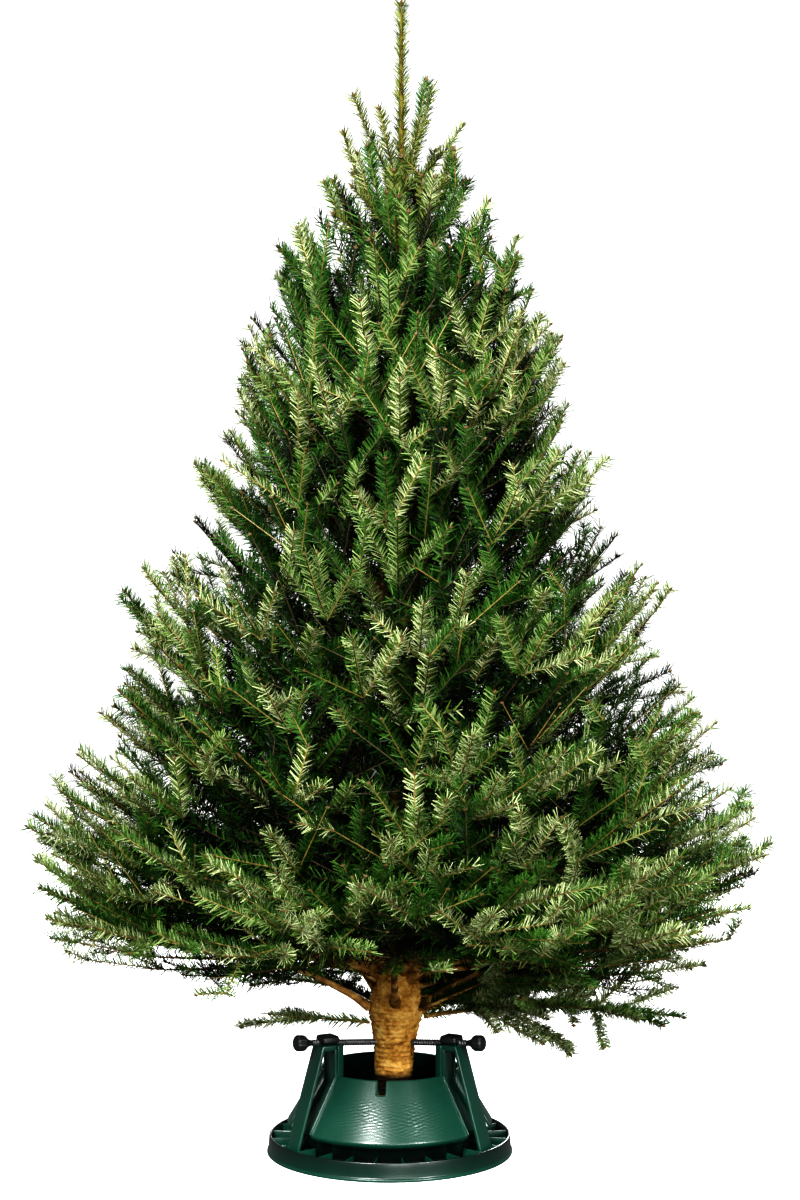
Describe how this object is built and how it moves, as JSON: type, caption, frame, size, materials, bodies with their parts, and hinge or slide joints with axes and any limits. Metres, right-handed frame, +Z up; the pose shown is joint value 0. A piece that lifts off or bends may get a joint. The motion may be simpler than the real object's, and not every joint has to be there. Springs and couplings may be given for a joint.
{
  "type": "cut christmas tree in a stand",
  "caption": "Cut fir tree with a pointed leader and dense tiers of upswept needle shoots, clamped by bolts in a round green plastic water stand.",
  "frame": {"origin": "centre of the stand's flat underside, on the floor", "axes": "+Z up along the trunk, -Y towards the front of the stand (the side with the rim's slot), +X to the right seen from the front"},
  "size_m": [1.1028, 1.1042, 1.778],
  "materials": {
    "bark": "rough scaly orange-brown bark",
    "needles": "glossy dark green needles with pale undersides",
    "stand_green": "moulded dark green plastic",
    "stand_black": "moulded black plastic and blackened bolts"
  },
  "bodies": {
    "root": {"bough_1": "bark", "bough_2": "bark", "bough_3": "bark", "bough_4": "bark", "bough_5": "bark", "foliage_leader": "needles", "foliage_low_left": "needles", "foliage_low_right": "needles", "foliage_tier1_1": "needles", "foliage_tier1_2": "needles", "foliage_tier1_3": "needles", "foliage_tier1_4": "needles", "foliage_tier1_5": "needles", "foliage_tier2_1": "needles", "foliage_tier2_2": "needles", "foliage_tier2_3": "needles", "foliage_tier2_4": "needles", "foliage_tier2_5": "needles", "foliage_tier3_1": "needles", "foliage_tier3_2": "needles", "foliage_tier3_3": "needles", "foliage_tier3_4": "needles", "foliage_tier3_5": "needles", "foliage_tier4_1": "needles", "foliage_tier4_2": "needles", "foliage_tier4_3": "needles", "foliage_tier4_4": "needles", "foliage_tier5_1": "needles", "foliage_tier5_2": "needles", "foliage_tier5_3": "needles", "foliage_tier5_4": "needles", "foliage_tier6_1": "needles", "foliage_tier6_2": "needles", "foliage_tier6_3": "needles", "foliage_tier7_1": "needles", "foliage_tier7_2": "needles", "foliage_tier7_3": "needles", "foliage_top_shoot_1": "needles", "foliage_top_shoot_2": "needles", "foliage_top_shoot_3": "needles", "foliage_top_shoot_4": "needles", "foliage_top_shoot_5": "needles", "low_branch_left": "bark", "low_branch_right": "bark", "stand_bolt_1": "stand_black", "stand_bolt_2": "stand_black", "stand_bolt_3": "stand_black", "stand_bowl": "stand_green", "stand_cap_1": "stand_black", "stand_cap_2": "stand_black", "stand_cap_3": "stand_black", "stand_dish": "stand_green", "stand_ring": "stand_green", "stand_tower_1": "stand_green", "stand_tower_2": "stand_green", "stand_tower_3": "stand_green", "trunk": "bark"}
  },
  "joints": []
}
